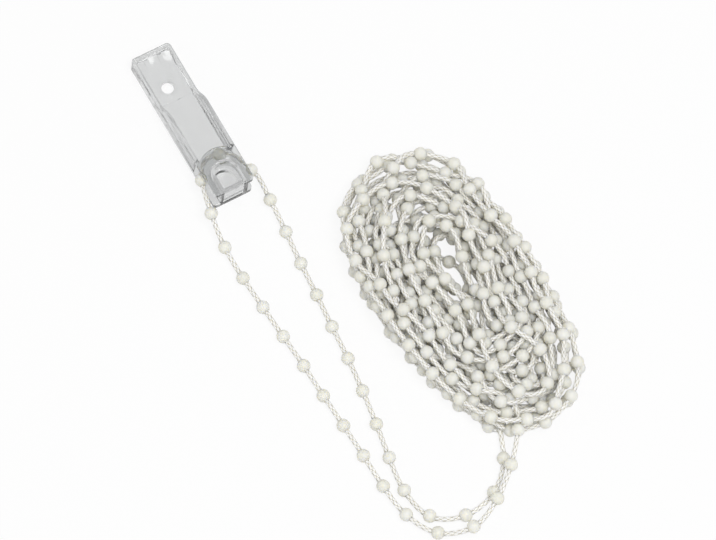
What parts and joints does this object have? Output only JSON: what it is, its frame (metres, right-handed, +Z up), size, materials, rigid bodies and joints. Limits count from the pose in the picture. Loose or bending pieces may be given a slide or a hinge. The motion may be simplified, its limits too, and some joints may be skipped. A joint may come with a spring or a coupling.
{
  "type": "roller blind chain",
  "caption": "White bead chain on a braided cord, threaded round a clear moulded wall guide, with the spare length wound into a hank.",
  "frame": {"origin": "on the table that the chain lies on, under the middle of the whole", "axes": "+Z up from the table, +Y towards the guide's screw end of the layout, +X from the guide towards the hank"},
  "size_m": [0.1481, 0.169, 0.0162],
  "materials": {
    "clear_plastic": "clear moulded polycarbonate",
    "bead_plastic": "satin moulded acetal",
    "braided_cord": "braided polyester"
  },
  "bodies": {
    "root": {"guide_body": "clear_plastic", "chain_cord": "braided_cord", "hank": "braided_cord", "bead_01": "bead_plastic", "bead_02": "bead_plastic", "bead_03": "bead_plastic", "bead_04": "bead_plastic", "bead_05": "bead_plastic", "bead_06": "bead_plastic", "bead_07": "bead_plastic", "bead_08": "bead_plastic", "bead_09": "bead_plastic", "bead_10": "bead_plastic", "bead_11": "bead_plastic", "bead_12": "bead_plastic", "bead_13": "bead_plastic", "bead_14": "bead_plastic", "bead_15": "bead_plastic", "bead_16": "bead_plastic", "bead_17": "bead_plastic", "bead_18": "bead_plastic", "bead_19": "bead_plastic", "bead_20": "bead_plastic", "bead_21": "bead_plastic", "bead_22": "bead_plastic", "bead_23": "bead_plastic", "bead_24": "bead_plastic", "bead_25": "bead_plastic", "bead_26": "bead_plastic", "bead_27": "bead_plastic", "bead_28": "bead_plastic", "bead_29": "bead_plastic", "bead_30": "bead_plastic", "bead_31": "bead_plastic", "bead_32": "bead_plastic", "bead_33": "bead_plastic", "bead_34": "bead_plastic"}
  },
  "joints": []
}
